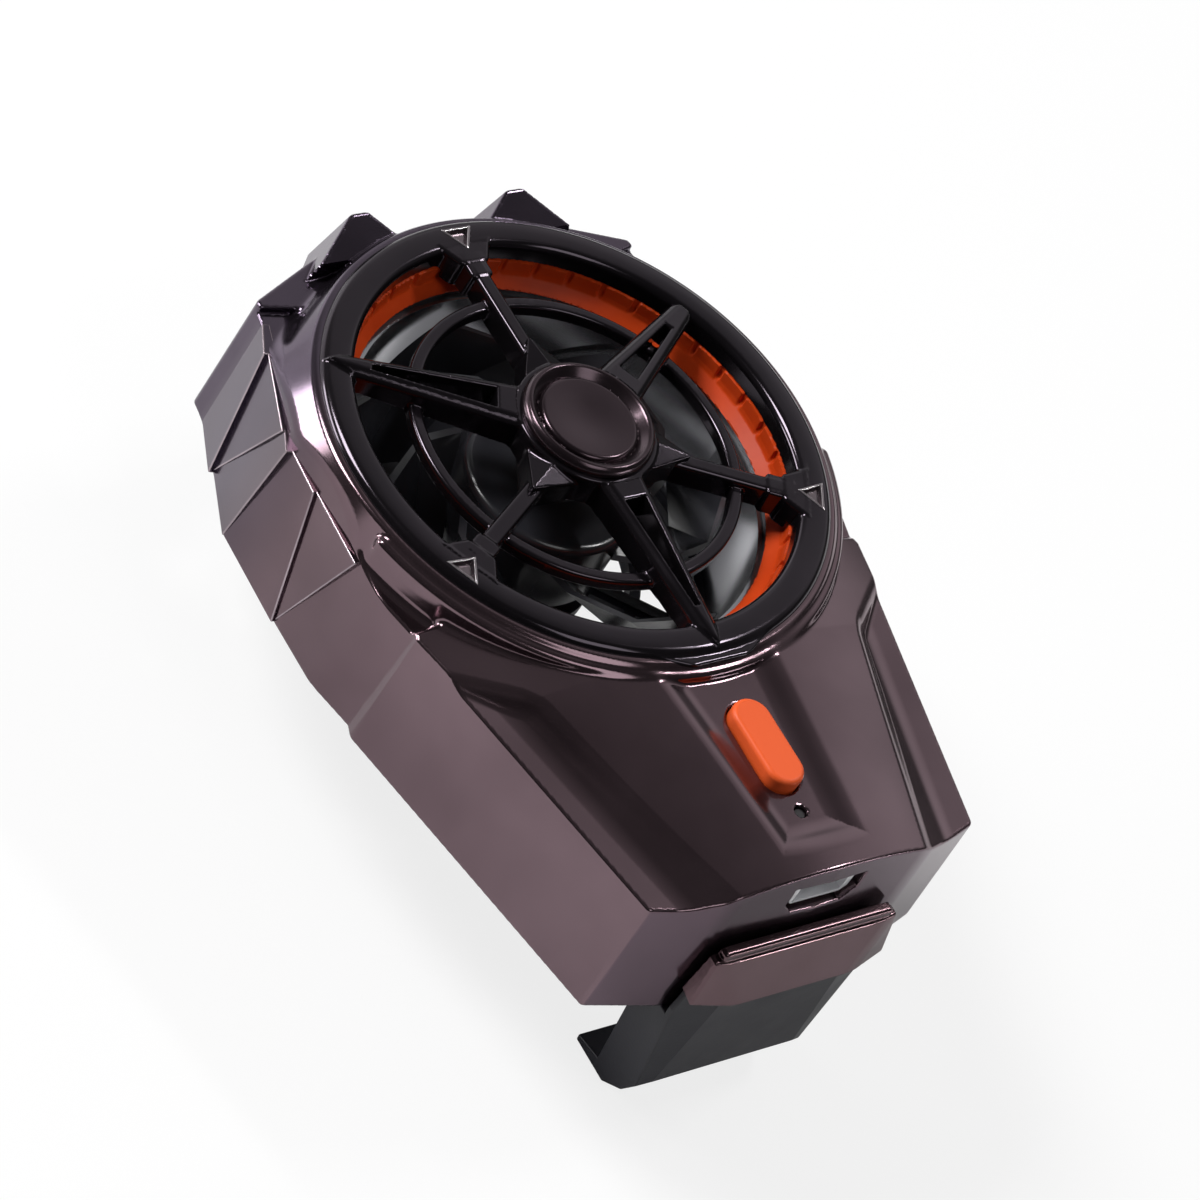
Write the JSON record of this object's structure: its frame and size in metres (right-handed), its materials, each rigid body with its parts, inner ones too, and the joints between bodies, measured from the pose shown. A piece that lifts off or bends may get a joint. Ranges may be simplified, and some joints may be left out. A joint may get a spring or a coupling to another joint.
{
  "type": "clip-on phone cooling fan",
  "caption": "Clip-on phone cooling fan: plated angular casing, star grille over a lit ring, spinning rotor, push button, charging socket and a spring clamp that slides out.",
  "frame": {"origin": "middle of the footprint, on the surface that the two claws stand on, under the middle of the whole length", "axes": "+Z out through the fan grille, +Y towards the fan end and its horns, -Y towards the button, charging socket and sliding clamp, +X to the right seen from the grille side"},
  "size_m": [0.06, 0.086, 0.0397],
  "materials": {
    "plated_shell": "dark bronze-black chrome plating on plastic",
    "plated_grille": "black chrome plating on plastic",
    "orange_plastic": "smooth orange plastic",
    "board": "green circuit board",
    "lamp_white": "white lamp chip",
    "black_plastic": "satin black moulding",
    "rotor_plastic": "smooth black moulding",
    "magnet": "dark ferrite",
    "steel": "bright steel",
    "bronze": "sintered bronze",
    "copper": "enamelled copper wire",
    "dark_screw": "blackened steel",
    "black_rubber": "matt black rubber",
    "clear_plastic": "clear plastic",
    "chip": "black component body",
    "cell_foil": "silver pouch foil"
  },
  "bodies": {
    "housing": {"front_shell": "plated_shell", "fan_grille": "plated_grille", "hub_cap": "plated_grille", "light_ring": "orange_plastic", "led_board": "board", "ring_leds": "lamp_white", "fan_duct": "black_plastic", "shaft_bearing": "bronze", "stator_core": "steel", "stator_coils": "copper", "motor_board": "board", "back_cover": "black_plastic", "cover_screws": "dark_screw", "phone_pads": "black_rubber", "main_board": "board", "board_screws": "dark_screw", "usb_socket": "steel", "power_switch": "black_plastic", "indicator_led": "lamp_white", "light_pin": "clear_plastic", "board_chips": "chip", "battery_cell": "cell_foil", "battery_tape": "black_rubber", "motor_lead": "black_rubber", "fixed_claw": "black_plastic", "claw_screws": "dark_screw", "fixed_grip_pad": "black_rubber", "guide_rods": "steel", "return_spring_left": "steel", "return_spring_right": "steel"},
    "fan": {"fan_rotor": "rotor_plastic", "rotor_magnet": "magnet", "rotor_shaft": "steel"},
    "clamp": {"clamp_arm": "black_plastic", "pull_tab": "plated_shell", "arm_grip_pad": "black_rubber"},
    "button": {"button_cap": "orange_plastic", "switch_plunger": "black_plastic"}
  },
  "joints": [
    {"name": "fan_spin", "type": "hinge", "parent": "housing", "child": "fan", "pos_m": [0, 0.01285, 0.025], "axis": [0, 0, 1], "continuous": true},
    {"name": "clamp_slide", "type": "slide", "parent": "housing", "child": "clamp", "axis": [0, -1, 0], "range_m": [0, 0.015], "stiffness_N_per_m": 300, "springref_m": -0.01, "deforming": ["return_spring_left", "return_spring_right"]},
    {"name": "power_press", "type": "slide", "parent": "housing", "child": "button", "axis": [0, 0, -1], "range_m": [0, 0.0005], "stiffness_N_per_m": 1500, "springref_m": -0.0005}
  ]
}
